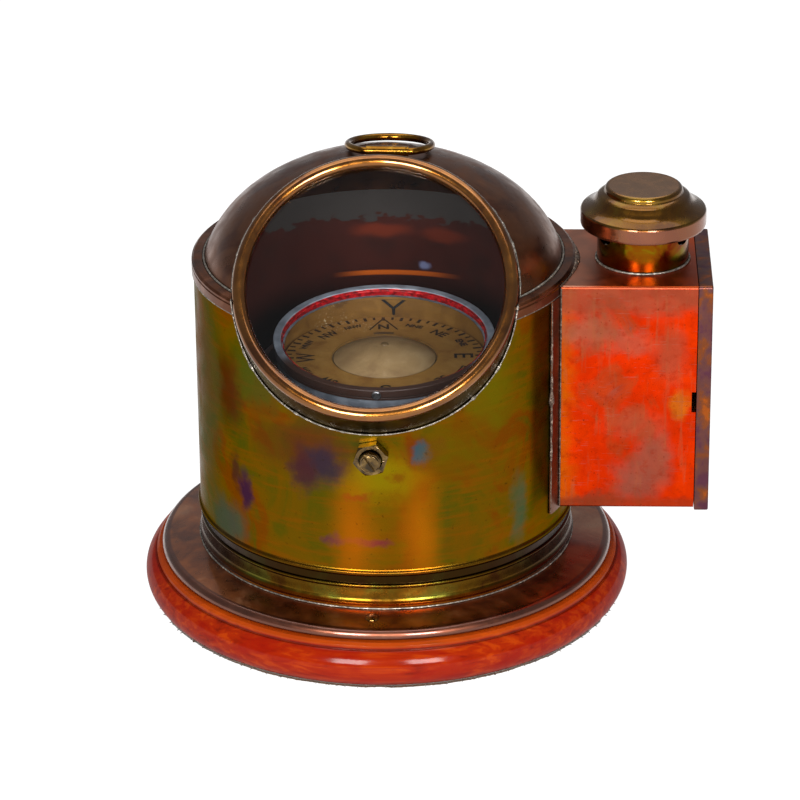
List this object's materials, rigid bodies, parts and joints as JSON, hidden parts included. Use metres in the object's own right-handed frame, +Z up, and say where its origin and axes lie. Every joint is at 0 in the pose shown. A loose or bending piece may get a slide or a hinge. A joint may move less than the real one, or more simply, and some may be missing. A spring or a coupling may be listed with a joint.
{
  "type": "binnacle compass",
  "caption": "Table-top boat's binnacle: domed brass cover with a sloping round window over a gimballed compass bowl, an oil lamp box with a chimney at its side, on a turned wooden base.",
  "frame": {"origin": "centre of the round underside, on the surface that the binnacle stands on", "axes": "+Z up, the window and the lubber line face -Y, the lamp box sticks out towards +X"},
  "size_m": [0.3037, 0.2612, 0.2508],
  "materials": {
    "baize": "worn dark baize",
    "mahogany": "glossy varnish",
    "bronze": "dark satin patina",
    "body_brass": "heat-tinted, brushed and lacquered",
    "dome_copper": "brown satin patina",
    "lamp_copper": "orange-red lacquered copper",
    "polished_brass": "polished, aged golden brown",
    "fitting_brass": "plain brass",
    "clear_glass": "clear",
    "grey_paint": "blue-grey eggshell paint",
    "card_face": "yellowed printed card",
    "red_putty": "red sealing compound",
    "steel": "dull steel and solder grey",
    "lead": "dull cast lead",
    "cotton_wick": "woven cotton"
  },
  "bodies": {
    "base": {"baize_pad": "baize", "wood_base": "mahogany", "base_skirt": "bronze", "base_collar": "bronze", "base_screw_1": "fitting_brass", "base_screw_2": "fitting_brass", "base_screw_3": "fitting_brass"},
    "cover": {"body_shell": "body_brass", "rim_band": "dome_copper", "hood_dome": "dome_copper", "window_collar": "body_brass", "window_bezel": "polished_brass", "window_glass": "clear_glass", "window_clamp_ring": "bronze", "carry_ring_barrel": "polished_brass", "pivot_screw_front": "fitting_brass", "pivot_nut_front": "fitting_brass", "pivot_screw_rear": "fitting_brass", "pivot_nut_rear": "fitting_brass", "lamp_box": "lamp_copper", "lamp_box_flange": "lamp_copper", "light_port_frame": "fitting_brass", "light_port_glass": "clear_glass", "hinge_leaf_box": "fitting_brass", "hinge_pin": "fitting_brass", "chimney_collar": "lamp_copper", "lamp_font": "fitting_brass", "lamp_burner": "fitting_brass"},
    "carry_ring": {"carry_ring": "polished_brass"},
    "gimbal": {"gimbal_ring": "grey_paint"},
    "bowl": {"bowl_shell": "grey_paint", "bowl_bezel_ring": "grey_paint", "bowl_glass": "clear_glass", "bowl_seal": "red_putty", "bowl_ballast": "lead", "card_pivot_post": "fitting_brass", "bowl_filler_screw": "steel", "bowl_pin_left": "fitting_brass", "bowl_pin_right": "fitting_brass"},
    "card": {"compass_card": "card_face", "card_float": "card_face", "card_magnet_left": "steel", "card_magnet_right": "steel"},
    "lamp_door": {"lamp_door": "lamp_copper", "hinge_leaf_door": "fitting_brass"},
    "chimney_cap": {"chimney_cap": "polished_brass"},
    "wick": {"lamp_wick": "cotton_wick"},
    "wick_knob": {"wick_knob": "fitting_brass"}
  },
  "joints": [
    {"name": "cover_lift", "type": "slide", "parent": "base", "child": "cover", "axis": [0, 0, 1], "range_m": [0, 0.12]},
    {"name": "carry_ring_swing", "type": "hinge", "parent": "cover", "child": "carry_ring", "pos_m": [0.0024, 0.003, 0.24725], "axis": [1, 0, 0], "range_deg": [0, 150]},
    {"name": "gimbal_roll", "type": "hinge", "parent": "cover", "child": "gimbal", "pos_m": [0, 0, 0.12], "axis": [0, 1, 0], "range_deg": [-30, 30]},
    {"name": "bowl_pitch", "type": "hinge", "parent": "gimbal", "child": "bowl", "pos_m": [0, 0, 0.12], "axis": [1, 0, 0], "range_deg": [-35, 25]},
    {"name": "card_spin", "type": "hinge", "parent": "bowl", "child": "card", "pos_m": [0, 0, 0.131], "axis": [0, 0, 1], "continuous": true},
    {"name": "door_swing", "type": "hinge", "parent": "cover", "child": "lamp_door", "pos_m": [0.16259, 0.0491, 0.123], "axis": [0, 0, 1], "range_deg": [0, 110]},
    {"name": "cap_lift", "type": "slide", "parent": "cover", "child": "chimney_cap", "axis": [0, 0, 1], "range_m": [0, 0.03]},
    {"name": "wick_knob_turn", "type": "hinge", "parent": "cover", "child": "wick_knob", "pos_m": [0.13602, 0.00475, 0.1002], "axis": [0.9994, 0.0349, 0], "range_deg": [0, 180]},
    {"name": "wick_raise", "type": "slide", "parent": "cover", "child": "wick", "axis": [0, 0, 1], "range_m": [0, 0.0078]}
  ],
  "couplings": [
    {"joint": "wick_knob_turn", "follows": "wick_raise", "rad_per_m": 400}
  ]
}
